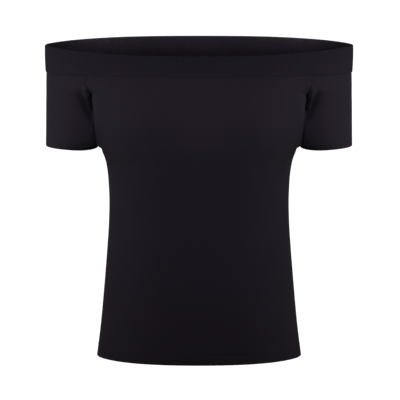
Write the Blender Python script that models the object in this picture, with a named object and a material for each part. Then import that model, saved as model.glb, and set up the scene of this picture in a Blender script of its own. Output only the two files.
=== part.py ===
"""A worn off-shoulder top in fine rib jersey: front, back, two short sleeves and a folded neckband.

Metres, +Z up. The front faces -Y. The origin is the middle of the neckband's ring, where the
wearer's chest and upper arms hold the top up. Depths are measured from the plane y = 0.
"""

import bpy
import numpy as np

# Cloth and seams
CLOTH = 0.0013
HEM_CLOTH = 0.0022
BAND_CLOTH = 0.0026
BAND_PROUD = 0.0008
SEAM_GAP = 0.0003

# Edges
RIM_HEIGHT = 0.0209
RIM_TILT = 0.083
RIM_DISH = -0.20
BAND_SEAM_HEIGHT = -0.0185
BAND_SEAM_SLOPE = 0.035
BAND_SEAM_BEND = 0.030
UNDERARM_HEIGHT = -0.1235
SLEEVE_HEM_INSIDE = -0.1265
SLEEVE_HEM_OUTSIDE = -0.1235
SLEEVE_HEM_RISES_FROM = 0.150
HEM_HEIGHT = -0.4255
HEM_TURN = 0.020
SLEEVE_HEM_TURN = 0.014
HEM_STEP = 0.001

# Ribs of the neckband
RIB_PITCH = 0.0030
RIB_RELIEF = 0.0003
COLUMNS_A_PLAIN_STEP = 8

# Half of the front at one height: the depth on the centre line, and the lip where the cloth turns
# towards its side, with the slope of the cloth there in degrees.
FRONT = (
    ("height", "centre", "lip_x", "lip_depth", "lip_turn"),
    (0.030, 0.0793, 0.1430, 0.0600, 26),
    (-0.017, 0.1100, 0.1460, 0.0772, 27),
    (-0.045, 0.1180, 0.1418, 0.0790, 45),
    (-0.080, 0.1200, 0.1412, 0.0735, 46),
    (-0.115, 0.1165, 0.1330, 0.0650, 50),
    (-0.146, 0.1075, 0.1195, 0.0550, 53),
    (-0.175, 0.0990, 0.1140, 0.0490, 53),
    (-0.205, 0.0925, 0.1128, 0.0450, 52),
    (-0.240, 0.0890, 0.1134, 0.0430, 52),
    (-0.275, 0.0885, 0.1154, 0.0430, 52),
    (-0.310, 0.0900, 0.1180, 0.0440, 52),
    (-0.345, 0.0925, 0.1206, 0.0450, 52),
    (-0.380, 0.0950, 0.1234, 0.0462, 52),
    (-0.430, 0.0980, 0.1288, 0.0480, 52),
)

# The same for half of the back.
BACK = (
    ("height", "centre", "lip_x", "lip_depth", "lip_turn"),
    (0.030, 0.0920, 0.1440, 0.0660, 26),
    (-0.017, 0.0970, 0.1450, 0.0725, 27),
    (-0.045, 0.0995, 0.1430, 0.0730, 38),
    (-0.080, 0.0985, 0.1412, 0.0680, 43),
    (-0.115, 0.0945, 0.1315, 0.0595, 49),
    (-0.146, 0.0885, 0.1200, 0.0520, 53),
    (-0.175, 0.0835, 0.1140, 0.0440, 53),
    (-0.205, 0.0800, 0.1128, 0.0405, 52),
    (-0.240, 0.0800, 0.1134, 0.0395, 52),
    (-0.275, 0.0845, 0.1154, 0.0415, 52),
    (-0.310, 0.0915, 0.1180, 0.0450, 52),
    (-0.345, 0.0985, 0.1206, 0.0482, 52),
    (-0.380, 0.1040, 0.1234, 0.0508, 52),
    (-0.430, 0.1095, 0.1288, 0.0535, 52),
)

# The seams at the sides of the front and back, with the slope of the cloth as it reaches them.
# Down to the underarm they are the armhole, and from there the side seam of the body.
FRONT_SEAM = (
    ("height", "x", "depth", "turn"),
    (0.030, 0.1580, 0.0525, 27),
    (-0.017, 0.1580, 0.0710, 28),
    (-0.029, 0.1580, 0.0715, 30),
    (-0.035, 0.1563, 0.0712, 34),
    (-0.040, 0.1543, 0.0680, 44),
    (-0.044, 0.1527, 0.0540, 70),
    (-0.047, 0.1518, 0.0390, 84),
    (-0.051, 0.1514, 0.0320, 88),
    (-0.057, 0.1510, 0.0330, 88),
    (-0.064, 0.1505, 0.0450, 84),
    (-0.074, 0.1497, 0.0580, 74),
    (-0.090, 0.1480, 0.0590, 72),
    (-0.102, 0.1467, 0.0545, 76),
    (-0.112, 0.1457, 0.0465, 84),
    (-0.118, 0.1451, 0.0320, 88),
    (-0.122, 0.1447, 0.0120, 80),
    (-0.1235, 0.1444, -0.0050, 60),
    (-0.1255, 0.1420, -0.0050, 70),
    (-0.130, 0.1390, -0.0048, 82),
    (-0.138, 0.1350, -0.0044, 88),
    (-0.150, 0.1321, -0.0038, 90),
    (-0.172, 0.1295, -0.0030, 90),
    (-0.205, 0.1283, -0.0020, 90),
    (-0.235, 0.1291, -0.0010, 90),
    (-0.270, 0.1314, 0.0000, 90),
    (-0.305, 0.1342, 0.0000, 90),
    (-0.340, 0.1372, 0.0000, 90),
    (-0.375, 0.1405, 0.0000, 90),
    (-0.430, 0.1472, 0.0000, 90),
)
BACK_SEAM = (
    ("height", "x", "depth", "turn"),
    (0.030, 0.1580, 0.0590, 27),
    (-0.017, 0.1580, 0.0660, 28),
    (-0.029, 0.1580, 0.0660, 30),
    (-0.036, 0.1562, 0.0635, 36),
    (-0.041, 0.1544, 0.0575, 52),
    (-0.046, 0.1527, 0.0500, 72),
    (-0.055, 0.1513, 0.0430, 86),
    (-0.080, 0.1491, 0.0360, 90),
    (-0.100, 0.1468, 0.0300, 90),
    (-0.112, 0.1457, 0.0245, 90),
    (-0.118, 0.1451, 0.0185, 88),
    (-0.122, 0.1447, 0.0115, 80),
    (-0.1235, 0.1444, 0.0050, 60),
    (-0.1255, 0.1420, 0.0050, 70),
    (-0.130, 0.1390, 0.0048, 82),
    (-0.138, 0.1350, 0.0044, 88),
    (-0.150, 0.1321, 0.0038, 90),
    (-0.172, 0.1295, 0.0030, 90),
    (-0.205, 0.1283, 0.0020, 90),
    (-0.235, 0.1291, 0.0010, 90),
    (-0.270, 0.1314, 0.0000, 90),
    (-0.305, 0.1342, 0.0000, 90),
    (-0.340, 0.1372, 0.0000, 90),
    (-0.375, 0.1405, 0.0000, 90),
    (-0.430, 0.1472, 0.0000, 90),
)

# A sleeve at one height, round the arm from the front armhole to the back one: the fold beside
# each armhole, how deep the arm is there, and the outermost point.
SLEEVE = (
    (
        "height", "front_fold_x", "front_fold", "front_arm",
        "back_fold_x", "back_fold", "back_arm", "out_x", "out_y",
    ),
    (0.030, 0.1880, 0.0400, 0.0100, 0.1880, 0.0440, 0.0110, 0.2187, 0.0000),
    (-0.017, 0.1950, 0.0520, 0.0240, 0.1950, 0.0480, 0.0240, 0.2174, 0.0020),
    (-0.036, 0.1800, 0.0660, 0.0380, 0.1835, 0.0590, 0.0376, 0.2177, 0.0034),
    (-0.050, 0.1565, 0.0890, 0.0460, 0.1760, 0.0655, 0.0475, 0.2178, 0.0045),
    (-0.062, 0.1600, 0.0800, 0.0520, 0.1712, 0.0690, 0.0560, 0.2181, 0.0055),
    (-0.080, 0.1640, 0.0690, 0.0580, 0.1640, 0.0740, 0.0680, 0.2183, 0.0070),
    (-0.100, 0.1600, 0.0660, 0.0610, 0.1577, 0.0775, 0.0740, 0.2185, 0.0070),
    (-0.1265, 0.1510, 0.0690, 0.0640, 0.1495, 0.0820, 0.0820, 0.2187, 0.0070),
)

# How far each end of a curve keeps its slope, as a share of its length
PULL = 0.36

# Share of a half panel's columns between its centre line and its lip
LIP_SHARE = 0.7

# Fullness that the bust gives the front
BUST_X = 0.068
BUST_HEIGHT = -0.072
BUST_WIDTH = 0.036
BUST_FULLNESS = 0.005

# Soft folds of a sleeve beside its armhole, front and back, each from its top to its foot
SLEEVE_FOLDS = (
    ("top_x", "top_height", "foot_x", "foot_height", "width", "rise"),
    (0.1670, -0.044, 0.1520, -0.077, 0.0042, -0.0045),
    (0.1600, -0.038, 0.1545, -0.062, 0.0030, 0.0045),
)

# Share of half a sleeve, from its armhole seam, over which the folds come to their height
FOLD_FADE = 0.05

# Rows of the mesh: those of the armholes are shared by the body and the sleeves
ARMHOLE_ROWS = (
    -0.0195, -0.025, -0.031, -0.036, -0.039, -0.042, -0.046, -0.051, -0.058, -0.068, -0.082, -0.096,
    SLEEVE_HEM_INSIDE + SLEEVE_HEM_TURN + HEM_STEP, SLEEVE_HEM_INSIDE + SLEEVE_HEM_TURN,
    -0.1175, -0.1215, UNDERARM_HEIGHT,
)
BODY_ROWS = (
    -0.1255, -0.128, -0.132, -0.138, -0.148, -0.163, -0.185, -0.210, -0.240, -0.272, -0.305, -0.340, -0.375,
    HEM_HEIGHT + HEM_TURN + HEM_STEP, HEM_HEIGHT + HEM_TURN, HEM_HEIGHT,
)
EDGE_FADE = 0.020
HALF_PANEL_STEPS = 13
HALF_SLEEVE_STEPS = 11
RING_SAMPLES = 400
BAND_STEPS = 2

# Sleeve columns stand closer together towards the armhole by this power
SLEEVE_STEP_EASE = 1.3

# Which way the cloth's outside faces at the very bottom of an armhole, inside the fold there
UNDERARM_FACING = (-0.2, 0.0, -1.0)

# Rounds in which points settle at heights that depend on their own depth
SETTLING_ROUNDS = 6

JERSEY_COLOUR = (0.013, 0.011, 0.015, 1.0)
BAND_COLOUR = (0.014, 0.012, 0.016, 1.0)
ROUGHNESS = 0.9
SHARP_ANGLE = 50


def smooth_between(known, values, at):
    """A smooth curve through the values, without overshoot between them."""
    order = np.argsort(known)
    x, y = known[order], values[order]
    step, slope = np.diff(x), np.diff(y) / np.diff(x)
    tangent = np.zeros(len(x))
    tangent[0], tangent[-1] = slope[0], slope[-1]
    before, after = 2 * step[1:] + step[:-1], step[1:] + 2 * step[:-1]
    same_way = slope[1:] * slope[:-1] > 0
    first, second = np.where(same_way, slope[:-1], 1.0), np.where(same_way, slope[1:], 1.0)
    tangent[1:-1] = np.where(same_way, (before + after) / (before / first + after / second), 0.0)
    i = np.clip(np.searchsorted(x, at) - 1, 0, len(step) - 1)
    t = (at - x[i]) / step[i]
    rise = (y[i + 1] - y[i]) * t * t * (3 - 2 * t)
    return y[i] + rise + step[i] * t * (1 - t) * ((1 - t) * tangent[i] - t * tangent[i + 1])


def read(table, height):
    """Every column of a table at these heights, by name."""
    names, rows = table[0], np.array(table[1:])
    return {name: smooth_between(rows[:, 0], rows[:, i], height) for i, name in enumerate(names)}


def bezier(start, leave, arrive, end, t):
    """A cubic curve in plan, as x and depth."""
    shares = (1 - t) ** 3, 3 * t * (1 - t) ** 2, 3 * t * t * (1 - t), t ** 3
    corners = start, leave, arrive, end
    return [sum(share * corner[axis] for share, corner in zip(shares, corners)) for axis in (0, 1)]


def sloping(start, start_turn, end, end_turn, t):
    """A curve in plan between two points, with the slope of the cloth at each in degrees."""
    pull = PULL * np.hypot(end[0] - start[0], end[1] - start[1])
    leave_at, arrive_at = np.radians(start_turn), np.radians(end_turn)
    leave = start[0] + pull * np.cos(leave_at), start[1] - pull * np.sin(leave_at)
    arrive = end[0] - pull * np.cos(arrive_at), end[1] + pull * np.sin(arrive_at)
    return bezier(start, leave, arrive, end, t)


def panel_section(table, seam_table, t, height):
    """x and depth of half a front or back, at t from its centre line (0) to its seam (1)."""
    row, seam = read(table, height), read(seam_table, height)
    centre = np.zeros_like(height), row["centre"]
    lip = row["lip_x"], row["lip_depth"]
    edge = seam["x"], seam["depth"]
    flat = sloping(centre, 0.0, lip, row["lip_turn"], np.minimum(t / LIP_SHARE, 1))
    side = sloping(lip, row["lip_turn"], edge, seam["turn"], np.maximum((t - LIP_SHARE) / (1 - LIP_SHARE), 0))
    return [np.where(t < LIP_SHARE, one, other) for one, other in zip(flat, side)]


def sleeve_section(seam_table, name, out_y, t, height):
    """x and depth of half a sleeve, at t from its armhole seam (0) to its outermost point (1)."""
    edge, row = read(seam_table, np.maximum(height, UNDERARM_HEIGHT)), read(SLEEVE, height)
    seam = edge["x"], edge["depth"]
    fold = row[name + "_fold_x"], row[name + "_fold"]
    arm = row["out_x"], row[name + "_arm"]
    out = row["out_x"], out_y * row["out_y"]
    return bezier(seam, fold, arm, out, t)


def bust(x, height):
    """How much further forward the front stands at its two fullest places."""
    across = np.exp(-(((np.abs(x) - BUST_X) / BUST_WIDTH) ** 2))
    along = np.exp(-(((height - BUST_HEIGHT) / BUST_WIDTH) ** 2))
    return BUST_FULLNESS * across * along


def fold_rise(t, x, height):
    """How far a sleeve's cloth stands out along the folds beside its armhole, none at the seam."""
    total = np.zeros_like(x)
    for top_x, top_height, foot_x, foot_height, width, rise in SLEEVE_FOLDS[1:]:
        along_x, along_height = foot_x - top_x, foot_height - top_height
        share = (x - top_x) * along_x + (height - top_height) * along_height
        share = np.clip(share / (along_x ** 2 + along_height ** 2), 0, 1)
        away = np.hypot(x - top_x - share * along_x, height - top_height - share * along_height)
        total += rise * np.exp(-((away / width) ** 2))
    return total * np.minimum(t / FOLD_FADE, 1)


def front_half(t, height):
    x, depth = panel_section(FRONT, FRONT_SEAM, t, height)
    return np.stack([x, -depth - bust(x, height), height], axis=-1)


def back_half(t, height):
    x, depth = panel_section(BACK, BACK_SEAM, t, height)
    return np.stack([x, depth, height], axis=-1)


def sleeve_front(t, height):
    x, depth = sleeve_section(FRONT_SEAM, "front", -1, t, height)
    return np.stack([x, -depth - fold_rise(t, x, height), height], axis=-1)


def sleeve_back(t, height):
    x, depth = sleeve_section(BACK_SEAM, "back", 1, t, height)
    return np.stack([x, depth + fold_rise(t, x, height), height], axis=-1)


def rim_height(points):
    """Height of the neckband's folded edge, which rises towards the back."""
    y = points[..., 1]
    return RIM_HEIGHT + RIM_TILT * y + RIM_DISH * y * y


def band_seam(points):
    """Height of the seam under the neckband, higher at the centre front and back."""
    y = points[..., 1]
    return BAND_SEAM_HEIGHT + BAND_SEAM_SLOPE * (np.hypot(y, BAND_SEAM_BEND) - BAND_SEAM_BEND)


def body_hem(points):
    return np.full(points.shape[:-1], HEM_HEIGHT)


def sleeve_hem(points):
    x = np.abs(points[..., 0])
    out = np.clip((x - SLEEVE_HEM_RISES_FROM) / (x.max() - SLEEVE_HEM_RISES_FROM), 0, 1)
    rise = out * out * (3 - 2 * out)
    return SLEEVE_HEM_INSIDE + (SLEEVE_HEM_OUTSIDE - SLEEVE_HEM_INSIDE) * rise


def cut_piece(half, t, rows, hem):
    """A grid of points on half a piece, level between its band seam and its hem."""
    t, height = np.meshgrid(t, rows)
    near_top = np.clip(1 + (height - rows[0]) / EDGE_FADE, 0, 1)
    near_hem = np.clip(1 - (height - rows[-1]) / EDGE_FADE, 0, 1)
    points = half(t, height)
    for _ in range(SETTLING_ROUNDS):
        to_seam = band_seam(points) - SEAM_GAP / 2 - rows[0]
        to_hem = hem(points) - rows[-1]
        points = half(t, height + near_top * to_seam + near_hem * to_hem)
    return points


def mirrored(grid):
    """The same points or normals on the other side of the wearer."""
    return grid[:, ::-1] * (-1, 1, 1)


def both_halves(grid):
    return np.concatenate([mirrored(grid)[:, :-1], grid], axis=1)


def unit(vectors):
    return vectors / np.linalg.norm(vectors, axis=-1, keepdims=True)


def turned(points, side):
    """Unit normals of a grid; side picks which way they face."""
    return side * unit(np.cross(np.gradient(points, axis=1), np.gradient(points, axis=0)))


def stop_short(edge, normal, side):
    """Moves a cut edge half a seam gap back from its seam line, to the side given."""
    edge += side * unit(np.cross(np.gradient(edge, axis=0), normal)) * SEAM_GAP / 2


def sewn_pieces():
    """Outside points and normals of half the front, half the back and the sleeve beside them.

    Pieces that meet share their normal along the seam, so that both walls stop at it.
    """
    body_rows, sleeve_rows = ARMHOLE_ROWS + BODY_ROWS, ARMHOLE_ROWS + (SLEEVE_HEM_INSIDE,)
    panel_t = np.linspace(0, 1, HALF_PANEL_STEPS + 1)
    sleeve_t = np.linspace(0, 1, HALF_SLEEVE_STEPS + 1) ** SLEEVE_STEP_EASE
    front = cut_piece(front_half, panel_t, body_rows, body_hem)
    back = cut_piece(back_half, panel_t, body_rows, body_hem)
    round_front = cut_piece(sleeve_front, sleeve_t, sleeve_rows, sleeve_hem)
    round_back = cut_piece(sleeve_back, sleeve_t, sleeve_rows, sleeve_hem)
    sleeve = np.concatenate([round_front, round_back[:, -2::-1]], axis=1)

    front_out = turned(both_halves(front), -1)[:, HALF_PANEL_STEPS:]
    back_out = turned(both_halves(back), 1)[:, HALF_PANEL_STEPS:]
    sleeve_out = turned(sleeve, -1)
    for out in (front_out, back_out, sleeve_out):
        out[0] = unit(out[0] * (1, 1, 0))
    arm, under = len(ARMHOLE_ROWS), len(ARMHOLE_ROWS) - 1
    front_seam = unit(front_out[:arm, -1] + sleeve_out[:arm, 0])
    back_seam = unit(back_out[:arm, -1] + sleeve_out[:arm, -1])
    side_seam = unit(front_out[arm:, -1] + back_out[arm:, -1])
    sleeve_seam = unit(sleeve_out[arm:, 0] + sleeve_out[arm:, -1])
    front_seam[under] = back_seam[under] = unit(np.array(UNDERARM_FACING))
    front_out[:, -1] = np.concatenate([front_seam, side_seam])
    back_out[:, -1] = np.concatenate([back_seam, side_seam])
    sleeve_out[:, 0] = np.concatenate([front_seam, sleeve_seam])
    sleeve_out[:, -1] = np.concatenate([back_seam, sleeve_seam])

    corner = front[under, -1].copy()
    stop_short(front[:, -1], front_out[:, -1], 1)
    stop_short(back[:, -1], back_out[:, -1], -1)
    stop_short(sleeve[:, 0], sleeve_out[:, 0], -1)
    stop_short(sleeve[:, -1], sleeve_out[:, -1], 1)
    away = SEAM_GAP / 2
    front[under, -1] = corner + (-away, -away, 0)
    back[under, -1] = corner + (-away, away, 0)
    sleeve[under, 0] = corner + (away, -away, 0)
    sleeve[under, -1] = corner + (away, away, 0)
    return (front, front_out), (back, back_out), (sleeve, sleeve_out)


def finish(name, points, faces, colour):
    """An object with its own jersey material, its faces pointing out."""
    mesh = bpy.data.meshes.new(name)
    mesh.from_pydata(points.tolist(), [], faces)
    mesh.update()
    mesh.calc_loop_triangles()
    corners = points[np.array([triangle.vertices for triangle in mesh.loop_triangles])]
    if np.linalg.det(corners).sum() < 0:
        mesh.flip_normals()
    mesh.shade_smooth()
    mesh.set_sharp_from_angle(angle=np.radians(SHARP_ANGLE))
    material = bpy.data.materials.new(name)
    material.use_nodes = True
    shader = material.node_tree.nodes["Principled BSDF"]
    shader.inputs["Base Color"].default_value = colour
    shader.inputs["Roughness"].default_value = ROUGHNESS
    shader.inputs["Metallic"].default_value = 0.0
    mesh.materials.append(material)
    bpy.context.scene.collection.objects.link(bpy.data.objects.new(name, mesh))


def strip(first, second):
    """Faces between two rows of as many points."""
    return [
        (int(first[i]), int(first[i + 1]), int(second[i + 1]), int(second[i]))
        for i in range(len(first) - 1)
    ]


def fan(many, few):
    """Faces between a closed row of ribs and a closed plain row, each plain step under several ribs."""
    faces = []
    half = COLUMNS_A_PLAIN_STEP // 2
    for i in range(len(few)):
        start = i * COLUMNS_A_PLAIN_STEP
        for j in range(start - half, start + half):
            faces.append((int(many[j]), int(many[(j + 1) % len(many)]), int(few[i])))
        last = int(many[(start + half) % len(many)])
        faces.append((last, int(few[(i + 1) % len(few)]), int(few[i])))
    return faces


def cloth_wall(name, points, normal, hem, turn):
    """A cut piece of jersey as a closed wall, thicker where its hem is turned up inside."""
    folded = points[..., 2:] < (hem(points) + turn + HEM_STEP / 2)[..., None]
    inside = points - normal * np.where(folded, HEM_CLOTH, CLOTH)
    rows, columns = points.shape[:2]
    outer = np.arange(rows * columns).reshape(rows, columns)
    inner = outer + rows * columns
    faces = []
    for i in range(rows - 1):
        faces += strip(outer[i], outer[i + 1])
        faces += strip(inner[i + 1], inner[i])
    faces += strip(inner[0], outer[0]) + strip(outer[-1], inner[-1])
    faces += strip(outer[:, 0], inner[:, 0]) + strip(inner[:, -1], outer[:, -1])
    finish(name, np.concatenate([points.reshape(-1, 3), inside.reshape(-1, 3)]), faces, JERSEY_COLOUR)


def ring(height_of):
    """Closed curve of the cloth at the height that is given for each of its points."""
    t = np.linspace(0, 1, RING_SAMPLES)
    arcs = []
    for half in (front_half, sleeve_front, sleeve_back, back_half):
        height = np.zeros(len(t))
        for _ in range(SETTLING_ROUNDS):
            height = height_of(half(t, height))
        arcs.append(half(t, height))
    front, round_front, round_back, back = arcs
    right = np.concatenate([front[:-1], round_front[:-1], round_back[:0:-1], back[::-1]])
    left = right[-2:0:-1] * (-1, 1, 1)
    return np.concatenate([right, left])


def evenly(curve, count):
    """As many points at even distances along a closed curve, from its first one."""
    closed = np.concatenate([curve, curve[:1]])
    length = np.concatenate([[0], np.cumsum(np.linalg.norm(np.diff(closed, axis=0), axis=1))])
    at = np.linspace(0, length[-1], count, endpoint=False)
    return np.stack([np.interp(at, length, closed[:, axis]) for axis in range(3)], axis=1)


def neckband():
    """One doubled tube, folded at the rim, ribbed outside and plain inside."""
    seam, rim = ring(lambda points: band_seam(points) + SEAM_GAP / 2), ring(rim_height)
    girth = np.linalg.norm(np.diff(seam, axis=0), axis=1).sum()
    steps_around = round(2 * girth / RIB_PITCH / COLUMNS_A_PLAIN_STEP)
    ribs = steps_around * COLUMNS_A_PLAIN_STEP
    seam, rim = evenly(seam, ribs), evenly(rim, ribs)
    share = np.linspace(0, 1, BAND_STEPS + 1)[:, None, None]
    fold = BAND_CLOTH / 2
    wall = seam + (rim - (0, 0, fold) - seam) * share
    across = np.roll(wall, -1, axis=1) - np.roll(wall, 1, axis=1)
    out = unit(np.cross(across, (rim - seam)[None]))
    out[0] = unit(out[0] * (1, 1, 0))
    relief = np.where(np.arange(ribs) % 2, -RIB_RELIEF, RIB_RELIEF)[None, :, None] / 2
    outside = wall + out * (BAND_PROUD + relief)
    plain = slice(None, None, COLUMNS_A_PLAIN_STEP)
    mid = wall[-1, plain] + out[-1, plain] * (BAND_PROUD - fold)
    crown = mid + (0, 0, fold)
    inside = (wall + out * (BAND_PROUD - BAND_CLOTH))[::-1, plain]
    rows = list(outside) + [crown] + list(inside)
    numbers, start = [], 0
    for row in rows:
        numbers.append(np.arange(start, start + len(row)))
        start += len(row)
    closed = [np.append(row, row[0]) for row in numbers]
    faces = []
    for i in range(BAND_STEPS):
        faces += strip(closed[i], closed[i + 1])
    faces += fan(numbers[BAND_STEPS], numbers[BAND_STEPS + 1])
    for i in range(BAND_STEPS + 1, len(rows) - 1):
        faces += strip(closed[i], closed[i + 1])
    faces += [face[::-1] for face in fan(numbers[0], numbers[-1])]
    finish("neckband", np.concatenate(rows), faces, BAND_COLOUR)


def main():
    for old in list(bpy.data.objects):
        bpy.data.objects.remove(old)
    (front, front_out), (back, back_out), (sleeve, sleeve_out) = sewn_pieces()
    cloth_wall("front", both_halves(front), both_halves(front_out), body_hem, HEM_TURN)
    cloth_wall("back", both_halves(back), both_halves(back_out), body_hem, HEM_TURN)
    cloth_wall("sleeve_right", sleeve, sleeve_out, sleeve_hem, SLEEVE_HEM_TURN)
    cloth_wall("sleeve_left", sleeve * (-1, 1, 1), sleeve_out * (-1, 1, 1), sleeve_hem, SLEEVE_HEM_TURN)
    neckband()


main()
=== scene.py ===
# An off-shoulder top in fine black rib jersey, hollow as it is worn: five pieces of cloth and their sewing.
# Metres, the front faces -Y. The pieces repeat the sizes of the solids, with a column for each rib.
import math

import bmesh
import bpy
import numpy as np
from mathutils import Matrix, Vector


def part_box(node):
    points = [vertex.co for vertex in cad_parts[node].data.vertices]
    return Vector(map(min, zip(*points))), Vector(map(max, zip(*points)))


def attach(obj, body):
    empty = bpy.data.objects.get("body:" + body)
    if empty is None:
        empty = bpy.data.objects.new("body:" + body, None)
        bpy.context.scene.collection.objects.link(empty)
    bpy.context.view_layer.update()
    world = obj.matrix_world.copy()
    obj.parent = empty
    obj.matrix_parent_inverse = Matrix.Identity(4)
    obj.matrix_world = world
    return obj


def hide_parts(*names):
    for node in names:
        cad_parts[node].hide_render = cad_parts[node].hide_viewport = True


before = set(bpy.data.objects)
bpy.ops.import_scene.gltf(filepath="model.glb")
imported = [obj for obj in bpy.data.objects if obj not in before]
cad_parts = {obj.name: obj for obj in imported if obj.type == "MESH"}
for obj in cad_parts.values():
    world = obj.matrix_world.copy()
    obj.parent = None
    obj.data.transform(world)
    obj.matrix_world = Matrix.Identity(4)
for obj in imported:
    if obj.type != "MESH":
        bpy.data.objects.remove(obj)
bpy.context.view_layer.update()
print("frame loaded:", ", ".join(sorted(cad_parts)))


# Sizes that every piece shares

edges = {
    "seamGap": 0.0003,             # the solids' gap at a seam
    "bandSeamHeight": -0.0185,
    "bandSeamSlope": 0.035,
    "bandSeamBend": 0.030,
    "rimHeight": 0.0209,
    "rimTilt": 0.083,
    "rimDish": -0.20,
    "underarmHeight": -0.1235,
    "sleeveHemInside": -0.1265,
    "sleeveHemOutside": -0.1235,
    "sleeveHemRisesFrom": 0.150,
    "bodyHem": -0.4255,
    "edgeFade": 0.020,             # how far from an edge the rows become level
}
cloth = {
    "thickness": 0.0012,
    "hemThickness": 0.0022,
    "ribPitch": 0.0030,
    "columnsPerRib": 4,
    "ribRelief": 0.00010,
    "seamHalfGap": 0.0001,
    "seamRound": 0.0017,           # how far from a seam the cloth starts to roll in
    "seamDip": 0.00095,
    "seamTurn": 0.003,             # how far from a seam a wall starts to lean to its neighbour's
}
curvePull = 0.36                   # how far each end of a curve keeps its slope, as a share of its length
lipShare = 0.7                     # share of a half panel between its centre line and its lip
settlingRounds = 6
underarmFacing = (-0.2, 0.0, -1.0)

# Half of the front and back at one height: centre depth, then the lip where the cloth turns to its side
frontTable = (
    ("height", "centre", "lipX", "lipDepth", "lipTurn"),
    (0.030, 0.0793, 0.1430, 0.0600, 26),
    (-0.017, 0.1100, 0.1460, 0.0772, 27),
    (-0.045, 0.1180, 0.1418, 0.0790, 45),
    (-0.080, 0.1200, 0.1412, 0.0735, 46),
    (-0.115, 0.1165, 0.1330, 0.0650, 50),
    (-0.146, 0.1075, 0.1195, 0.0550, 53),
    (-0.175, 0.0990, 0.1140, 0.0490, 53),
    (-0.205, 0.0925, 0.1128, 0.0450, 52),
    (-0.240, 0.0890, 0.1134, 0.0430, 52),
    (-0.275, 0.0885, 0.1154, 0.0430, 52),
    (-0.310, 0.0900, 0.1180, 0.0440, 52),
    (-0.345, 0.0925, 0.1206, 0.0450, 52),
    (-0.380, 0.0950, 0.1234, 0.0462, 52),
    (-0.430, 0.0980, 0.1288, 0.0480, 52),
)
backTable = (
    ("height", "centre", "lipX", "lipDepth", "lipTurn"),
    (0.030, 0.0920, 0.1440, 0.0660, 26),
    (-0.017, 0.0970, 0.1450, 0.0725, 27),
    (-0.045, 0.0995, 0.1430, 0.0730, 38),
    (-0.080, 0.0985, 0.1412, 0.0680, 43),
    (-0.115, 0.0945, 0.1315, 0.0595, 49),
    (-0.146, 0.0885, 0.1200, 0.0520, 53),
    (-0.175, 0.0835, 0.1140, 0.0440, 53),
    (-0.205, 0.0800, 0.1128, 0.0405, 52),
    (-0.240, 0.0800, 0.1134, 0.0395, 52),
    (-0.275, 0.0845, 0.1154, 0.0415, 52),
    (-0.310, 0.0915, 0.1180, 0.0450, 52),
    (-0.345, 0.0985, 0.1206, 0.0482, 52),
    (-0.380, 0.1040, 0.1234, 0.0508, 52),
    (-0.430, 0.1095, 0.1288, 0.0535, 52),
)

# The side seams, where front and back stand equally far from the middle plane
sideSeamRows = (
    (-0.1235, 0.1444, 0.0050, 60),
    (-0.1255, 0.1420, 0.0050, 70),
    (-0.130, 0.1390, 0.0048, 82),
    (-0.138, 0.1350, 0.0044, 88),
    (-0.150, 0.1321, 0.0038, 90),
    (-0.172, 0.1295, 0.0030, 90),
    (-0.205, 0.1283, 0.0020, 90),
    (-0.235, 0.1291, 0.0010, 90),
    (-0.270, 0.1314, 0.0000, 90),
    (-0.305, 0.1342, 0.0000, 90),
    (-0.340, 0.1372, 0.0000, 90),
    (-0.375, 0.1405, 0.0000, 90),
    (-0.430, 0.1472, 0.0000, 90),
)

# The seams at the sides, with the slope of the cloth as it reaches them: armhole, then side seam
frontSeamTable = (
    ("height", "x", "depth", "turn"),
    (0.030, 0.1580, 0.0525, 27),
    (-0.017, 0.1580, 0.0710, 28),
    (-0.029, 0.1580, 0.0715, 30),
    (-0.035, 0.1563, 0.0712, 34),
    (-0.040, 0.1543, 0.0680, 44),
    (-0.044, 0.1527, 0.0540, 70),
    (-0.047, 0.1518, 0.0390, 84),
    (-0.051, 0.1514, 0.0320, 88),
    (-0.057, 0.1510, 0.0330, 88),
    (-0.064, 0.1505, 0.0450, 84),
    (-0.074, 0.1497, 0.0580, 74),
    (-0.090, 0.1480, 0.0590, 72),
    (-0.102, 0.1467, 0.0545, 76),
    (-0.112, 0.1457, 0.0465, 84),
    (-0.118, 0.1451, 0.0320, 88),
    (-0.122, 0.1447, 0.0120, 80),
) + tuple((height, x, -depth, turn) for height, x, depth, turn in sideSeamRows)
backSeamTable = (
    ("height", "x", "depth", "turn"),
    (0.030, 0.1580, 0.0590, 27),
    (-0.017, 0.1580, 0.0660, 28),
    (-0.029, 0.1580, 0.0660, 30),
    (-0.036, 0.1562, 0.0635, 36),
    (-0.041, 0.1544, 0.0575, 52),
    (-0.046, 0.1527, 0.0500, 72),
    (-0.055, 0.1513, 0.0430, 86),
    (-0.080, 0.1491, 0.0360, 90),
    (-0.100, 0.1468, 0.0300, 90),
    (-0.112, 0.1457, 0.0245, 90),
    (-0.118, 0.1451, 0.0185, 88),
    (-0.122, 0.1447, 0.0115, 80),
) + sideSeamRows

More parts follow.
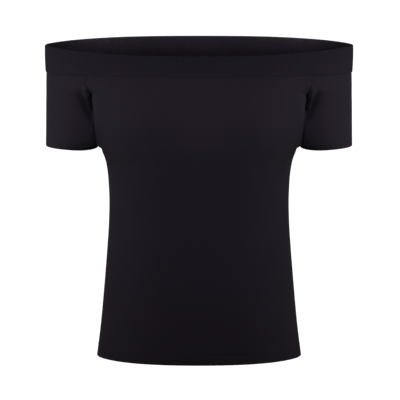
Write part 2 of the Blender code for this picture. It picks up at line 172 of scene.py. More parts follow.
# A sleeve at one height: the folds beside its armhole, how deep the arm is, and its outermost point
sleeveTable = (
    (
        "height", "frontFoldX", "frontFold", "frontArm",
        "backFoldX", "backFold", "backArm", "outX", "outY",
    ),
    (0.030, 0.1880, 0.0400, 0.0100, 0.1880, 0.0440, 0.0110, 0.2187, 0.0000),
    (-0.017, 0.1950, 0.0520, 0.0240, 0.1950, 0.0480, 0.0240, 0.2174, 0.0020),
    (-0.036, 0.1800, 0.0660, 0.0380, 0.1835, 0.0590, 0.0376, 0.2177, 0.0034),
    (-0.050, 0.1565, 0.0890, 0.0460, 0.1760, 0.0655, 0.0475, 0.2178, 0.0045),
    (-0.062, 0.1600, 0.0800, 0.0520, 0.1712, 0.0690, 0.0560, 0.2181, 0.0055),
    (-0.080, 0.1640, 0.0690, 0.0580, 0.1640, 0.0740, 0.0680, 0.2183, 0.0070),
    (-0.100, 0.1600, 0.0660, 0.0610, 0.1577, 0.0775, 0.0740, 0.2185, 0.0070),
    (-0.1265, 0.1510, 0.0690, 0.0640, 0.1495, 0.0820, 0.0820, 0.2187, 0.0070),
)
bust = {"x": 0.068, "height": -0.072, "width": 0.036, "fullness": 0.005}

# Soft folds of a sleeve beside its armhole, front and back, each from its top to its foot
armholeFolds = (
    ("topX", "topHeight", "footX", "footHeight", "width", "rise"),
    (0.1670, -0.044, 0.1520, -0.077, 0.0042, -0.0045),
    (0.1600, -0.038, 0.1545, -0.062, 0.0030, 0.0045),
)
# Share of half a sleeve, from its armhole seam, over which they come to their height
armholeFoldFade = 0.05


# The form of the cloth

def smoothBetween(known, values, at):
    order = np.argsort(known)
    x, y = known[order], values[order]
    step, slope = np.diff(x), np.diff(y) / np.diff(x)
    tangent = np.zeros(len(x))
    tangent[0], tangent[-1] = slope[0], slope[-1]
    before, after = 2 * step[1:] + step[:-1], step[1:] + 2 * step[:-1]
    sameWay = slope[1:] * slope[:-1] > 0
    first, second = np.where(sameWay, slope[:-1], 1.0), np.where(sameWay, slope[1:], 1.0)
    tangent[1:-1] = np.where(sameWay, (before + after) / (before / first + after / second), 0.0)
    i = np.clip(np.searchsorted(x, at) - 1, 0, len(step) - 1)
    t = (at - x[i]) / step[i]
    rise = (y[i + 1] - y[i]) * t * t * (3 - 2 * t)
    return y[i] + rise + step[i] * t * (1 - t) * ((1 - t) * tangent[i] - t * tangent[i + 1])


def readTable(table, height):
    names, rows = table[0], np.array(table[1:])
    return {name: smoothBetween(rows[:, 0], rows[:, i], height) for i, name in enumerate(names)}


def bezier(start, leave, arrive, end, t):
    shares = (1 - t) ** 3, 3 * t * (1 - t) ** 2, 3 * t * t * (1 - t), t ** 3
    corners = start, leave, arrive, end
    return [sum(share * corner[axis] for share, corner in zip(shares, corners)) for axis in (0, 1)]


def sloping(start, startTurn, end, endTurn, t):
    pull = curvePull * np.hypot(end[0] - start[0], end[1] - start[1])
    leaveAt, arriveAt = np.radians(startTurn), np.radians(endTurn)
    leave = start[0] + pull * np.cos(leaveAt), start[1] - pull * np.sin(leaveAt)
    arrive = end[0] - pull * np.cos(arriveAt), end[1] + pull * np.sin(arriveAt)
    return bezier(start, leave, arrive, end, t)


def panelSection(table, seamTable, t, height):
    row, seam = readTable(table, height), readTable(seamTable, height)
    centre = np.zeros_like(height), row["centre"]
    lip = row["lipX"], row["lipDepth"]
    edge = seam["x"], seam["depth"]
    flat = sloping(centre, 0.0, lip, row["lipTurn"], np.minimum(t / lipShare, 1))
    side = sloping(lip, row["lipTurn"], edge, seam["turn"], np.maximum((t - lipShare) / (1 - lipShare), 0))
    return [np.where(t < lipShare, one, other) for one, other in zip(flat, side)]


def sleeveSection(seamTable, name, outward, t, height):
    edge = readTable(seamTable, np.maximum(height, edges["underarmHeight"]))
    row = readTable(sleeveTable, height)
    seam = edge["x"], edge["depth"]
    fold = row[name + "FoldX"], row[name + "Fold"]
    arm = row["outX"], row[name + "Arm"]
    out = row["outX"], outward * row["outY"]
    return bezier(out, arm, fold, seam, t)


def bustFullness(x, height):
    across = np.exp(-(((np.abs(x) - bust["x"]) / bust["width"]) ** 2))
    along = np.exp(-(((height - bust["height"]) / bust["width"]) ** 2))
    return bust["fullness"] * across * along


def armholeFoldRise(t, x, height):
    total = np.zeros_like(x)
    for topX, topHeight, footX, footHeight, width, rise in armholeFolds[1:]:
        alongX, alongHeight = footX - topX, footHeight - topHeight
        share = (x - topX) * alongX + (height - topHeight) * alongHeight
        share = np.clip(share / (alongX ** 2 + alongHeight ** 2), 0, 1)
        away = np.hypot(x - topX - share * alongX, height - topHeight - share * alongHeight)
        total += rise * np.exp(-((away / width) ** 2))
    return total * np.minimum((1 - t) / armholeFoldFade, 1)


# Each half runs from the piece's middle line (t = 0) to its seam (t = 1), on the side of +X
def frontHalf(t, height):
    x, depth = panelSection(frontTable, frontSeamTable, t, height)
    return np.stack([x, -depth - bustFullness(x, height), height], axis=-1)


def backHalf(t, height):
    x, depth = panelSection(backTable, backSeamTable, t, height)
    return np.stack([x, depth, height], axis=-1)


def sleeveFront(t, height):
    x, depth = sleeveSection(frontSeamTable, "front", -1, t, height)
    return np.stack([x, -depth - armholeFoldRise(t, x, height), height], axis=-1)


def sleeveBack(t, height):
    x, depth = sleeveSection(backSeamTable, "back", 1, t, height)
    return np.stack([x, depth + armholeFoldRise(t, x, height), height], axis=-1)


def rimHeightAt(points):
    y = points[..., 1]
    return edges["rimHeight"] + edges["rimTilt"] * y + edges["rimDish"] * y * y


def bandSeamAt(points):
    y, bend = points[..., 1], edges["bandSeamBend"]
    return edges["bandSeamHeight"] + edges["bandSeamSlope"] * (np.hypot(y, bend) - bend)


def bodyHemAt(points):
    return np.full(points.shape[:-1], edges["bodyHem"])


def sleeveHemAt(points):
    start, widest = edges["sleeveHemRisesFrom"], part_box("sleeve_right")[1][0]
    out = np.clip((np.abs(points[..., 0]) - start) / (widest - start), 0, 1)
    rise = out * out * (3 - 2 * out)
    return edges["sleeveHemInside"] + (edges["sleeveHemOutside"] - edges["sleeveHemInside"]) * rise


topRow = -0.0195                   # the row that is moved to the seam under the neckband
lowRows = {"body": edges["bodyHem"], "sleeve": edges["sleeveHemInside"]}
hemLines = {"body": bodyHemAt, "sleeve": sleeveHemAt}


def levelled(half, part, t, height):
    low, hemAt = lowRows[part], hemLines[part]
    nearTop = np.clip(1 + (height - topRow) / edges["edgeFade"], 0, 1)
    nearHem = np.clip(1 - (height - low) / edges["edgeFade"], 0, 1)
    points = half(t, height)
    for _ in range(settlingRounds):
        toSeam = bandSeamAt(points) - edges["seamGap"] / 2 - topRow
        toHem = hemAt(points) - low
        points = half(t, height + nearTop * toSeam + nearHem * toHem)
    return points


def unit(vectors):
    return vectors / np.maximum(np.linalg.norm(vectors, axis=-1, keepdims=True), 1e-12)


facingStep = {"share": 0.004, "rise": 0.0006}


def facing(half, part, t, height, side):
    # Unit vectors out of the cloth, from small steps along and across it; side says which way is out
    step, rise = facingStep["share"], facingStep["rise"]
    low = lowRows[part]
    right, left = np.minimum(t + step, 1), np.maximum(t - step, 0)
    over, under = np.minimum(height + rise, topRow), np.maximum(height - rise, low)
    across = levelled(half, part, right, height) - levelled(half, part, left, height)
    down = levelled(half, part, t, under) - levelled(half, part, t, over)
    return side * unit(np.cross(down, across))


def filled(rows, spacing):
    # The rows, with more between them where they stand further apart than the spacing
    result = [rows[0]]
    for start, end in zip(rows[:-1], rows[1:]):
        steps = max(1, math.ceil(abs(end - start) / spacing - 1e-6))
        result += [start + (end - start) * i / steps for i in range(1, steps + 1)]
    return result


# Rows of points, from the top down. The armhole's rows are shared by the body and the sleeves.
rowsBelowSeam = [0.0, 0.0003, 0.0007, 0.0012, 0.0020]
armholeRows = [topRow - d for d in rowsBelowSeam]
armholeRows += filled([-0.0240, -0.1120], 0.0032) + filled([-0.1140, -0.1220], 0.0014)
armholeRows += [-0.1230, edges["underarmHeight"]]
bodyRows = [-0.1242, -0.1250, -0.1262, -0.1280] + filled([-0.1310, -0.1500], 0.0035)
bodyRows += filled([-0.1560, -0.4000], 0.0085)


def rowsAboveHem(low, stitchRows, thickness):
    fold = [0.0, 0.04, 0.15, 0.33, 0.62, 1.0]
    result = [low + thickness / 2 * share for share in fold]
    result += [low + 0.0025, low + 0.0050]
    first, last = min(stitchRows), max(stitchRows)
    result += filled([low + first - 0.0020, low + last + 0.0030], 0.0009)
    return result[::-1]


bodyStitchRows = (0.0148, 0.0188)  # twin-needle rows, above the body's hem
sleeveStitchRows = (0.0088, 0.0128)
hemRows = rowsAboveHem(edges["bodyHem"], bodyStitchRows, cloth["hemThickness"])
cuffRows = rowsAboveHem(edges["sleeveHemInside"], sleeveStitchRows, cloth["hemThickness"])
bodyHeights = np.array(sorted(set(armholeRows + bodyRows + hemRows), reverse=True))
sleeveHeights = np.array(sorted(set(armholeRows + cuffRows), reverse=True))


def rowLengths(half, part, heights):
    t = np.linspace(0, 1, 241)[None, :] + np.zeros((len(heights), 1))
    points = levelled(half, part, t, heights[:, None] + np.zeros_like(t))
    steps = np.linalg.norm(np.diff(points, axis=1), axis=2)
    return t[0], np.concatenate([np.zeros((len(heights), 1)), np.cumsum(steps, axis=1)], axis=1)


def halfGrid(half, part, side, heights):
    # Points, facings, ribs and distance to the seam of half a piece. A column keeps its rib all the way
    # down, the cloth stretches below the underarm, and columns end where the armhole cuts them.
    t, length = rowLengths(half, part, heights)
    reach = length[:, -1]
    atUnderarm = reach[np.argmin(np.abs(heights - edges["underarmHeight"]))]
    stretch = np.where(heights < edges["underarmHeight"], reach / atUnderarm, 1.0)
    spacing = cloth["ribPitch"] / cloth["columnsPerRib"]
    count = int(np.ceil(reach.max() / spacing)) + 1
    wanted = np.arange(count)[None, :] * spacing * stretch[:, None]
    end = (reach - cloth["seamHalfGap"])[:, None]
    last = (wanted < end).sum(axis=1)
    arc = np.minimum(wanted, end)
    at = np.stack([np.interp(arc[i], length[i], t) for i in range(len(heights))])
    height = heights[:, None] + np.zeros_like(at)
    return {
        "t": at,
        "points": levelled(half, part, at, height),
        "out": facing(half, part, at, height, side),
        "rib": arc / stretch[:, None] / cloth["ribPitch"],
        "toSeam": reach[:, None] - arc,
        "last": np.minimum(last, count - 1),
    }


justBeforeSeam = 0.998


def sharedWay(heights, *walls):
    # The way out that the walls at a seam share at these heights; a wall is (half, part, side)
    ends = np.full(len(heights), justBeforeSeam)
    return unit(sum(facing(half, part, ends, heights, side) for half, part, side in walls))


def leanTo(grid, shared):
    # Near its seam a wall turns to the direction that it shares with its neighbour
    share = np.clip(1 - grid["toSeam"] / cloth["seamTurn"], 0, 1)[..., None]
    grid["out"] = unit(grid["out"] * (1 - share) + shared[:, None] * share)


def joined(first, second, flip):
    # Two halves as one grid, from the first one's seam over the middle line to the second one's seam
    flipped = {key: first[key][:, :0:-1] for key in ("points", "out", "toSeam")}
    flipped["rib"] = -first["rib"][:, :0:-1]
    if flip:
        flipped["points"] = flipped["points"] * (-1, 1, 1)
        flipped["out"] = flipped["out"] * (-1, 1, 1)
    grid = {key: np.concatenate([flipped[key], second[key]], axis=1) for key in flipped}
    middle = flipped["rib"].shape[1]
    column = np.arange(grid["rib"].shape[1])[None, :]
    low, high = middle - first["last"][:, None], middle + second["last"][:, None]
    grid["column"] = np.clip(column, low, high)
    return grid


def bent(start, middle, end, t):
    return (1 - t) ** 2 * start + 2 * t * (1 - t) * middle + t ** 2 * end


creaseSteps = 25
creaseEnds = 0.6                   # the lower, the more suddenly a crease ends


def creased(points, table):
    # Height of the soft ridges and troughs of a table at these points, seen from the front
    names, rows = table[0], table[1:]
    x, z = points[..., 0], points[..., 2]
    total = np.zeros_like(x)
    steps = np.linspace(0, 1, creaseSteps)
    for row in rows:
        fold = dict(zip(names, row))
        near = np.full(x.shape, np.inf)
        along = np.zeros_like(x)
        lineX = bent(fold["x0"], fold["x1"], fold["x2"], steps)
        lineZ = bent(fold["z0"], fold["z1"], fold["z2"], steps)
        for i in range(len(steps) - 1):
            dx, dz = lineX[i + 1] - lineX[i], lineZ[i + 1] - lineZ[i]
            share = np.clip(((x - lineX[i]) * dx + (z - lineZ[i]) * dz) / (dx * dx + dz * dz), 0, 1)
            away = np.hypot(x - lineX[i] - share * dx, z - lineZ[i] - share * dz)
            closer = away < near
            near = np.where(closer, away, near)
            along = np.where(closer, steps[i] + share * (steps[i + 1] - steps[i]), along)
        fade = np.sin(np.pi * np.clip(along, 0, 1)) ** creaseEnds
        total += fold["height"] * fade * np.exp(-((near / fold["width"]) ** 2))
    return total


def seamRoll(distance):
    # How far the cloth has rolled in at this distance from a seam, as a quarter of an ellipse
    share = np.clip(1 - distance / cloth["seamRound"], 0, 1)
    return cloth["seamDip"] * (1 - np.sqrt(1 - share * share))


hem = {
    "turnedPast": 0.0012,          # how far the turned cloth reaches past the upper stitches
    "turnedEdge": 0.0006,
    "grooveWidth": 0.0006,
    "grooveDepth": 0.00016,
    "tunnelWidth": 0.0011,
    "tunnelHeight": 0.00015,
    "easeLength": 0.0024,
    "easeHeight": 0.00012,
}


def hemForm(aboveHem, stitchRows):
    # How far the outside stands back at a hem, and how deep its inside lies
    radius = cloth["hemThickness"] / 2
    share = np.clip(1 - aboveHem / radius, 0, 1)
    half = radius * np.sqrt(1 - share * share)
    edge = max(stitchRows) + hem["turnedPast"]
    between = (min(stitchRows) + max(stitchRows)) / 2
    turned = np.clip((edge - aboveHem) / hem["turnedEdge"] + 0.5, 0, 1)
    inside = cloth["thickness"] + (radius + half - cloth["thickness"]) * turned
    rows = (np.exp(-(((aboveHem - row) / hem["grooveWidth"]) ** 2)) for row in stitchRows)
    groove = sum(rows) * hem["grooveDepth"]
    tunnel = np.exp(-(((aboveHem - between) / hem["tunnelWidth"]) ** 2)) * hem["tunnelHeight"]
    step = np.clip((edge + hem["turnedPast"] - aboveHem) / hem["easeLength"], 0, 1)
    ease = step * step * (3 - 2 * step) * hem["easeHeight"]
    return radius - half + groove - tunnel - ease, inside


def wallSides(grid, part, heights, stitchRows, fold):
    # Outside and inside of a wall, with its hem, its creases and its edges rolled in at the seams
    everywhere = np.zeros_like(grid["rib"])
    standBack, inside = hemForm((heights - lowRows[part])[:, None] + everywhere, stitchRows)
    roll = seamRoll(grid["toSeam"]) + seamRoll((topRow - heights)[:, None] + everywhere)
    roll = np.minimum(roll, cloth["seamDip"])
    outer = grid["points"] + grid["out"] * (fold - standBack - roll)[..., None]
    inner = grid["points"] + grid["out"] * (fold - inside)[..., None]
    return outer, inner


def linked(name, data):
    obj = bpy.data.objects.new(name, data)
    bpy.context.scene.collection.objects.link(obj)
    return obj


def knitObject(name, points, faces, places, out, rib):
    # A closed mesh whose faces point outwards, with the knit's own coordinates as its UV map
    mesh = bpy.data.meshes.new(name)
    mesh.from_pydata(points.tolist(), [], faces)
    mesh.uv_layers.new(name="knit")
    mesh.uv_layers["knit"].data.foreach_set("uv", places.astype(np.float32).ravel())
    mesh.calc_loop_triangles()
    triangles = points[np.array([triangle.vertices for triangle in mesh.loop_triangles])]
    if np.linalg.det(triangles).sum() < 0:
        mesh.flip_normals()
    addAttribute(mesh, "out", "FLOAT_VECTOR", "vector", out)
    addAttribute(mesh, "rib", "FLOAT", "value", rib)
    return linked(name, mesh)


def clothMesh(name, outer, inner, out, column, rib):
    # A closed wall between two grids of points
    rows, columns = column.shape
    points = np.concatenate([outer.reshape(-1, 3), inner.reshape(-1, 3)])
    outerIndex = np.arange(rows)[:, None] * columns + column
    innerIndex = outerIndex + rows * columns
    steps = np.linalg.norm(np.diff(outer[:, 0], axis=0), axis=1)
    down = np.concatenate([[0], np.cumsum(steps)])[:, None] + np.zeros((rows, columns))
    uv = np.stack([rib, -down], axis=-1)

    def patch(a, b, c, d, uvA, uvB, uvC, uvD):
        corners = np.stack([a, b, c, d], axis=-1).reshape(-1, 4)
        places = np.stack([uvA, uvB, uvC, uvD], axis=-2).reshape(-1, 4, 2)
        return corners, places

    def gridPatch(index, flip):
        parts = (index[:-1, :-1], index[1:, :-1], index[1:, 1:], index[:-1, 1:])
        places = (uv[:-1, :-1], uv[1:, :-1], uv[1:, 1:], uv[:-1, 1:])
        if flip:
            parts, places = parts[::-1], places[::-1]
        return patch(*parts, *places)

    def rim(first, second, place):
        start, end = place[:-1], place[1:]
        return patch(first[:-1], first[1:], second[1:], second[:-1], start, end, end, start)

    patches = (
        gridPatch(outerIndex, False),
        gridPatch(innerIndex, True),
        rim(innerIndex[0], outerIndex[0], uv[0]),
        rim(outerIndex[-1], innerIndex[-1], uv[-1]),
        rim(outerIndex[:, 0], innerIndex[:, 0], uv[:, 0]),
        rim(innerIndex[:, -1], outerIndex[:, -1], uv[:, -1]),
    )
    corners, places = (np.concatenate(kind) for kind in zip(*patches))

    # Where columns end at a seam, corners fall together: such a face becomes a triangle or goes
    faces, facePlaces = [], []
    same = corners == np.roll(corners, -1, axis=1)
    whole = ~same.any(axis=1)
    faces += corners[whole].tolist()
    facePlaces.append(places[whole].reshape(-1, 2))
    for k in range(4):
        single = (same.sum(axis=1) == 1) & same[:, k]
        keep = [i for i in range(4) if i != k]
        faces += corners[single][:, keep].tolist()
        facePlaces.append(places[single][:, keep].reshape(-1, 2))
    outwards = np.concatenate([out.reshape(-1, 3), -out.reshape(-1, 3)])
    ribPoints = np.tile(rib.reshape(-1), 2)
    obj = knitObject(name, points, faces, np.concatenate(facePlaces), outwards, ribPoints)
    removeLoosePoints(obj.data)
    return obj


def addAttribute(mesh, name, kind, field, values):
    attribute = mesh.attributes.new(name, kind, "POINT")
    attribute.data.foreach_set(field, np.asarray(values, np.float32).ravel())


def removeLoosePoints(mesh):
    form = bmesh.new()
    form.from_mesh(mesh)
    loose = [point for point in form.verts if not point.link_faces]
    bmesh.ops.delete(form, geom=loose, context="VERTS")
    form.to_mesh(mesh)
    form.free()


# Geometry Nodes

def newTree(name, inputs):
    tree = bpy.data.node_groups.new(name, "GeometryNodeTree")
    tree.interface.new_socket("Geometry", in_out="INPUT", socket_type="NodeSocketGeometry")
    for label, kind, value in inputs:
        socket = tree.interface.new_socket(label, in_out="INPUT", socket_type=kind)
        if value is not None:
            socket.default_value = value
    tree.interface.new_socket("Geometry", in_out="OUTPUT", socket_type="NodeSocketGeometry")
    return tree, tree.nodes.new("NodeGroupInput"), tree.nodes.new("NodeGroupOutput")


def addNode(tree, kind, **settings):
    node = tree.nodes.new(kind)
    for key, value in settings.items():
        setattr(node, key, value)
    return node


def mathNode(tree, operation, first, second=None):
    node = addNode(tree, "ShaderNodeMath", operation=operation)
    for socket, value in zip(node.inputs, (first, second)):
        if isinstance(value, bpy.types.NodeSocket):
            tree.links.new(value, socket)
        elif value is not None:
            socket.default_value = value
    return node.outputs[0]


def ribTree():
    # Raises the ribs of a knit: rounded wales with narrow valleys between them
    tree, given, result = newTree("raiseRibs", (
        ("Relief", "NodeSocketFloat", cloth["ribRelief"]),
        ("Material", "NodeSocketMaterial", None),
    ))
    rib = addNode(tree, "GeometryNodeInputNamedAttribute", data_type="FLOAT")
    rib.inputs["Name"].default_value = "rib"
    out = addNode(tree, "GeometryNodeInputNamedAttribute", data_type="FLOAT_VECTOR")
    out.inputs["Name"].default_value = "out"
    turn = mathNode(tree, "MULTIPLY", rib.outputs["Attribute"], math.pi)
    wave = mathNode(tree, "ABSOLUTE", mathNode(tree, "COSINE", turn))
    rounded = mathNode(tree, "POWER", wave, 0.8)
    level = mathNode(tree, "SUBTRACT", rounded, 0.6)
    height = mathNode(tree, "MULTIPLY", level, given.outputs["Relief"])
    offset = addNode(tree, "ShaderNodeVectorMath", operation="SCALE")
    tree.links.new(out.outputs["Attribute"], offset.inputs[0])
    tree.links.new(height, offset.inputs["Scale"])
    move = addNode(tree, "GeometryNodeSetPosition")
    tree.links.new(given.outputs["Geometry"], move.inputs["Geometry"])
    tree.links.new(offset.outputs[0], move.inputs["Offset"])
    finishTree(tree, given, result, move.outputs[0])
    return tree


def finishTree(tree, given, result, geometry):
    smooth = addNode(tree, "GeometryNodeSetShadeSmooth")
    real = addNode(tree, "GeometryNodeRealizeInstances")
    paint = addNode(tree, "GeometryNodeSetMaterial")
    tree.links.new(geometry, real.inputs[0])
    tree.links.new(real.outputs[0], smooth.inputs["Geometry"])
    tree.links.new(smooth.outputs[0], paint.inputs["Geometry"])
    tree.links.new(given.outputs["Material"], paint.inputs["Material"])
    tree.links.new(paint.outputs[0], result.inputs[0])


def stitchTree():
    # Lays short rounded stitches along a line, flat on the cloth
    tree, given, result = newTree("stitchRow", (
        ("Pitch", "NodeSocketFloat", 0.003),
        ("Size", "NodeSocketVector", (0.001, 0.001, 0.001)),
        ("Seed", "NodeSocketInt", 3),
        ("Material", "NodeSocketMaterial", None),
    ))
    line = addNode(tree, "GeometryNodeMeshToCurve")
    even = addNode(tree, "GeometryNodeResampleCurve", mode="LENGTH")
    tree.links.new(given.outputs["Geometry"], line.inputs[0])
    tree.links.new(line.outputs[0], even.inputs["Curve"])
    tree.links.new(given.outputs["Pitch"], even.inputs["Length"])
    stitch = addNode(tree, "GeometryNodeMeshUVSphere")
    stitch.inputs["Segments"].default_value = 6
    stitch.inputs["Rings"].default_value = 4
    stitch.inputs["Radius"].default_value = 0.5
    shape = addNode(tree, "GeometryNodeTransform")
    tree.links.new(stitch.outputs["Mesh"], shape.inputs["Geometry"])
    tree.links.new(given.outputs["Size"], shape.inputs["Scale"])
    tangent = addNode(tree, "GeometryNodeInputTangent")
    out = addNode(tree, "GeometryNodeInputNamedAttribute", data_type="FLOAT_VECTOR")
    out.inputs["Name"].default_value = "out"
    alongLine = addNode(tree, "FunctionNodeAlignRotationToVector", axis="X")
    tree.links.new(tangent.outputs[0], alongLine.inputs["Vector"])
    flat = addNode(tree, "FunctionNodeAlignRotationToVector", axis="Z", pivot_axis="X")
    tree.links.new(alongLine.outputs[0], flat.inputs["Rotation"])
    tree.links.new(out.outputs["Attribute"], flat.inputs["Vector"])
    uneven = addNode(tree, "FunctionNodeRandomValue", data_type="FLOAT")
    uneven.inputs[2].default_value = 0.90
    uneven.inputs[3].default_value = 1.06
    tree.links.new(given.outputs["Seed"], uneven.inputs["Seed"])
    place = addNode(tree, "GeometryNodeInstanceOnPoints")
    tree.links.new(even.outputs[0], place.inputs["Points"])
    tree.links.new(shape.outputs[0], place.inputs["Instance"])
    tree.links.new(flat.outputs[0], place.inputs["Rotation"])
    tree.links.new(uneven.outputs[1], place.inputs["Scale"])
    finishTree(tree, given, result, place.outputs[0])
    return tree


def runTree(obj, tree, values):
    # The result of a tree as a plain mesh
    modifier = obj.modifiers.new(tree.name, "NODES")
    modifier.node_group = tree
    identifiers = {
        item.name: item.identifier for item in tree.interface.items_tree if item.in_out == "INPUT"
    }
    for label, value in values.items():
        modifier[identifiers[label]] = value
    bpy.context.view_layer.update()
    evaluated = obj.evaluated_get(bpy.context.evaluated_depsgraph_get())
    mesh = bpy.data.meshes.new_from_object(evaluated)
    obj.modifiers.clear()
    old = obj.data
    obj.data = mesh
    bpy.data.meshes.remove(old)
    mesh.name = obj.name
    for name in ("out", "rib"):
        if name in mesh.attributes:
            mesh.attributes.remove(mesh.attributes[name])
    return obj


# Materials

jerseyLook = {
    "colour": (0.0105, 0.0072, 0.0131),
    "rough": 0.86,
    "roughSpread": 0.05,
    "specular": 0.10,
    "sheen": 0.035,
    "sheenRough": 0.45,
    "sheenTint": (0.86, 0.82, 0.92, 1),
    "fibreScale": 1900,
    "fibreShade": 0.14,            # how much lighter and darker single fibres are
    "dyeScale": 14,
    "dyeShade": 0.04,
    "course": 0.0011,              # height of one row of stitches
    "lean": 1.6,
    "fuzz": 0.9,
    "bump": 0.55,
    "bumpDepth": 0.00012,
}
bandLook = dict(jerseyLook, colour=(0.0096, 0.0065, 0.0119), bump=0.6)
threadLook = {
    "colour": (0.0125, 0.0105, 0.0145),
    "rough": (0.55, 0.75),
    "shade": (0.8, 1.2),
    "specular": 0.18,
    "sheen": 0.04,
    "twistScale": 3200,
}
noiseRange = (0.3, 0.7)            # where most of a noise's values lie


def newMaterial(name, look):
    material = bpy.data.materials.new(name)
    material.use_nodes = True
    tree = material.node_tree
    shader = tree.nodes["Principled BSDF"]
    shader.inputs["Specular IOR Level"].default_value = look["specular"]
    shader.inputs["Sheen Weight"].default_value = look["sheen"]
    return material, tree, shader


def noiseNode(tree, scale, detail):
    node = addNode(tree, "ShaderNodeTexNoise")
    node.inputs["Scale"].default_value = scale
    node.inputs["Detail"].default_value = detail
    place = addNode(tree, "ShaderNodeTexCoord")
    tree.links.new(place.outputs["Object"], node.inputs["Vector"])
    return node.outputs[0]


def rangedNode(tree, value, before, after):
    # Spreads the values of one range over another
    node = addNode(tree, "ShaderNodeMapRange")
    tree.links.new(value, node.inputs["Value"])
    for socket, number in zip(("From Min", "From Max", "To Min", "To Max"), (*before, *after)):
        node.inputs[socket].default_value = number
    return node.outputs[0]


def shadedColour(tree, shader, colour, shade):
    node = addNode(tree, "ShaderNodeVectorMath", operation="SCALE")
    node.inputs[0].default_value = colour
    tree.links.new(shade, node.inputs["Scale"])
    tree.links.new(node.outputs[0], shader.inputs["Base Color"])


def around(middle, spread):
    return middle - spread, middle + spread


def knitMaterial(name, look):
    # Black rib jersey: stitches that follow the ribs, soft fibre, and slightly uneven dye
    material, tree, shader = newMaterial(name, look)
    shader.inputs["Sheen Roughness"].default_value = look["sheenRough"]
    shader.inputs["Sheen Tint"].default_value = look["sheenTint"]
    shader.inputs["Metallic"].default_value = 0.0
    fibre, dye = noiseNode(tree, look["fibreScale"], 3), noiseNode(tree, look["dyeScale"], 2)
    fibreShade = rangedNode(tree, fibre, noiseRange, around(1, look["fibreShade"]))
    dyeShade = rangedNode(tree, dye, noiseRange, around(1, look["dyeShade"]))
    shadedColour(tree, shader, look["colour"], mathNode(tree, "MULTIPLY", fibreShade, dyeShade))
    rough = rangedNode(tree, fibre, noiseRange, around(look["rough"], look["roughSpread"]))
    tree.links.new(rough, shader.inputs["Roughness"])

    # Each wale is a column of small V shapes
    knit = addNode(tree, "ShaderNodeUVMap", uv_map="knit")
    split = addNode(tree, "ShaderNodeSeparateXYZ")
    tree.links.new(knit.outputs[0], split.inputs[0])
    across = mathNode(tree, "FRACT", split.outputs["X"])
    lean = mathNode(tree, "ABSOLUTE", mathNode(tree, "SUBTRACT", across, 0.5))
    rise = mathNode(tree, "MULTIPLY", split.outputs["Y"], 1 / look["course"])
    leant = mathNode(tree, "ADD", rise, mathNode(tree, "MULTIPLY", lean, look["lean"]))
    turn = mathNode(tree, "MULTIPLY", leant, math.tau)
    loops = mathNode(tree, "MULTIPLY", mathNode(tree, "SINE", turn), 0.5)
    height = mathNode(tree, "ADD", loops, mathNode(tree, "MULTIPLY", fibre, look["fuzz"]))
    bump = addNode(tree, "ShaderNodeBump")
    bump.inputs["Strength"].default_value = look["bump"]
    bump.inputs["Distance"].default_value = look["bumpDepth"]
    tree.links.new(height, bump.inputs["Height"])
    tree.links.new(bump.outputs[0], shader.inputs["Normal"])
    return material


def threadMaterial(name, look):
    material, tree, shader = newMaterial(name, look)
    twist = noiseNode(tree, look["twistScale"], 2)
    tree.links.new(rangedNode(tree, twist, (0, 1), look["rough"]), shader.inputs["Roughness"])
    shadedColour(tree, shader, look["colour"], rangedNode(tree, twist, (0, 1), look["shade"]))
    return material


jersey = knitMaterial("ribJersey", jerseyLook)
bandJersey = knitMaterial("bandJersey", bandLook)
thread = threadMaterial("blackThread", threadLook)
ribs, stitches = ribTree(), stitchTree()
print("materials and node trees made")


# Creases, each a curve through three places seen from the front: height above the cloth, and width
creaseNames = ("x0", "z0", "x1", "z1", "x2", "z2", "width", "height")
frontCreases = (
    creaseNames,
    (0.150, -0.052, 0.138, -0.066, 0.118, -0.074, 0.0090, -0.0007),
    (-0.151, -0.050, -0.137, -0.061, -0.121, -0.066, 0.0080, -0.0006),
    (0.128, -0.135, 0.114, -0.142, 0.098, -0.141, 0.0080, -0.0006),
    (-0.130, -0.138, -0.116, -0.147, -0.094, -0.149, 0.0090, -0.0008),
    (0.094, -0.176, 0.106, -0.220, 0.114, -0.268, 0.0085, -0.0006),
    (0.078, -0.190, 0.094, -0.236, 0.104, -0.292, 0.0100, -0.0004),
    (-0.118, -0.182, -0.107, -0.226, -0.106, -0.262, 0.0100, -0.0005),
)
backCreases = (
    creaseNames,
    (-0.098, -0.196, -0.020, -0.186, 0.064, -0.199, 0.0100, -0.0019),
    (-0.060, -0.219, 0.016, -0.210, 0.104, -0.222, 0.0090, -0.0024),
    (-0.108, -0.243, -0.044, -0.236, 0.034, -0.245, 0.0085, -0.0016),
    (0.022, -0.252, 0.066, -0.247, 0.112, -0.256, 0.0080, -0.0011),
    (0.148, -0.066, 0.130, -0.092, 0.104, -0.104, 0.0095, -0.0016),
    (-0.149, -0.060, -0.132, -0.082, -0.112, -0.088, 0.0085, -0.0013),
    (-0.146, -0.096, -0.124, -0.118, -0.096, -0.122, 0.0090, -0.0012),
    (0.126, -0.142, 0.108, -0.158, 0.086, -0.160, 0.0095, -0.0012),
    (-0.122, -0.154, -0.104, -0.166, -0.078, -0.168, 0.0085, -0.0010),
)
sleeveFrontCreases = {
    "right": (
        creaseNames,
        (0.184, -0.036, 0.1760, -0.041, 0.1700, -0.052, 0.0040, -0.0008),
        (0.172, -0.092, 0.164, -0.104, 0.156, -0.112, 0.0065, -0.0008),
        (0.200, -0.046, 0.192, -0.078, 0.190, -0.112, 0.0110, -0.0006),
    ),
    "left": (
        creaseNames,
        (0.187, -0.034, 0.1780, -0.040, 0.1715, -0.052, 0.0044, -0.0010),
        (0.176, -0.088, 0.168, -0.101, 0.158, -0.113, 0.0070, -0.0010),
        (0.204, -0.052, 0.197, -0.080, 0.194, -0.108, 0.0100, -0.0005),
    ),
}
